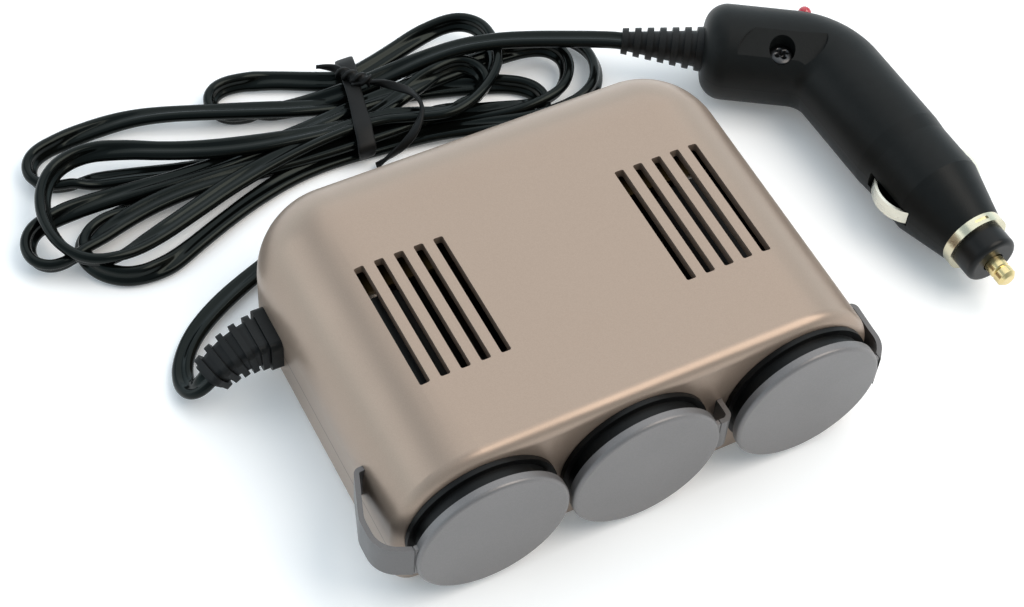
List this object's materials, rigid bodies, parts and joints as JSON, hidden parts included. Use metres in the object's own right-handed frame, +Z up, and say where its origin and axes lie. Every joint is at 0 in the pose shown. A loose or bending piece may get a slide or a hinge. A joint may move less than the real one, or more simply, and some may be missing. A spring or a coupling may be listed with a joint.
{
  "type": "vehicle lighter socket splitter",
  "caption": "Vehicle lighter socket splitter: a vented, rounded case with capped sockets, a flat cord tied in a hank and an angled plug with a sprung tip.",
  "frame": {"origin": "middle of the case's footprint, on the surface that it lies on", "axes": "+X along the row of sockets, -Y out of the sockets' mouths, +Z up"},
  "size_m": [0.1866, 0.1339, 0.0345],
  "materials": {
    "case_paint": "satin metallic bronze paint on moulded plastic",
    "cap_bronze": "soft moulded plastic, satin grey bronze",
    "housing_black": "moulded black",
    "barrel_steel": "nickel-plated sheet steel",
    "brass": "plain sheet brass",
    "steel": "zinc-plated",
    "lead_red": "red insulation",
    "lead_black": "black insulation",
    "boot_rubber": "moulded black",
    "cord_black": "glossy black insulation",
    "tie_black": "black",
    "plug_black": "fine-grained black",
    "screw_black": "blackened",
    "light_red": "clear red lens",
    "contact_steel": "nickel-plated spring steel",
    "ring_metal": "nickel-plated",
    "nose_black": "moulded black",
    "tip_brass": "turned brass",
    "fuse": "glass tube with plated ends"
  },
  "bodies": {
    "case": {"upper_shell": "case_paint", "lower_shell": "case_paint", "case_screws": "steel", "positive_strip": "brass", "ground_strip": "brass", "positive_lead": "lead_red", "ground_lead": "lead_black", "cable_boot": "boot_rubber", "cord_lead": "cord_black", "cord_hank": "cord_black", "cord_tail": "cord_black", "hank_tie": "tie_black", "plug_upper_shell": "plug_black", "plug_lower_shell": "plug_black", "plug_screw": "screw_black", "plug_light": "light_red", "plug_boot": "boot_rubber", "plug_ring": "ring_metal", "plug_nose": "nose_black", "plug_spring": "steel", "socket_housing_left": "housing_black", "socket_barrel_left": "barrel_steel", "centre_contact_left": "brass", "strap_left": "cap_bronze", "socket_housing_middle": "housing_black", "socket_barrel_middle": "barrel_steel", "centre_contact_middle": "brass", "strap_middle": "cap_bronze", "socket_housing_right": "housing_black", "socket_barrel_right": "barrel_steel", "centre_contact_right": "brass", "strap_right": "cap_bronze"},
    "cap_left": {"cap_left": "cap_bronze"},
    "cap_middle": {"cap_middle": "cap_bronze"},
    "cap_right": {"cap_right": "cap_bronze"},
    "plug_tip": {"plug_tip": "tip_brass", "plug_fuse": "fuse"},
    "plug_inner_contact": {"plug_inner_contact": "contact_steel"},
    "plug_outer_contact": {"plug_outer_contact": "contact_steel"}
  },
  "joints": [
    {"name": "cap_left_hinge", "type": "hinge", "parent": "case", "child": "cap_left", "pos_m": [-0.0491, -0.04395, 0.0171], "axis": [0, 0, -1], "range_deg": [0, 120]},
    {"name": "cap_middle_hinge", "type": "hinge", "parent": "case", "child": "cap_middle", "pos_m": [0.014, -0.04395, 0.0171], "axis": [0, 0, 1], "range_deg": [0, 110]},
    {"name": "cap_right_hinge", "type": "hinge", "parent": "case", "child": "cap_right", "pos_m": [0.0491, -0.04395, 0.0171], "axis": [0, 0, 1], "range_deg": [0, 120]},
    {"name": "plug_tip_slide", "type": "slide", "parent": "case", "child": "plug_tip", "axis": [-0.0471, 0.9989, 0], "range_m": [0, 0.003], "stiffness_N_per_m": 500, "springref_m": -0.003, "deforming": ["plug_spring"]},
    {"name": "plug_inner_contact_slide", "type": "slide", "parent": "case", "child": "plug_inner_contact", "axis": [0.9989, 0.0471, 0], "range_m": [0, 0.0017], "stiffness_N_per_m": 3000, "springref_m": -0.0005},
    {"name": "plug_outer_contact_slide", "type": "slide", "parent": "case", "child": "plug_outer_contact", "axis": [-0.9989, -0.0471, 0], "range_m": [0, 0.0017], "stiffness_N_per_m": 3000, "springref_m": -0.0005}
  ]
}
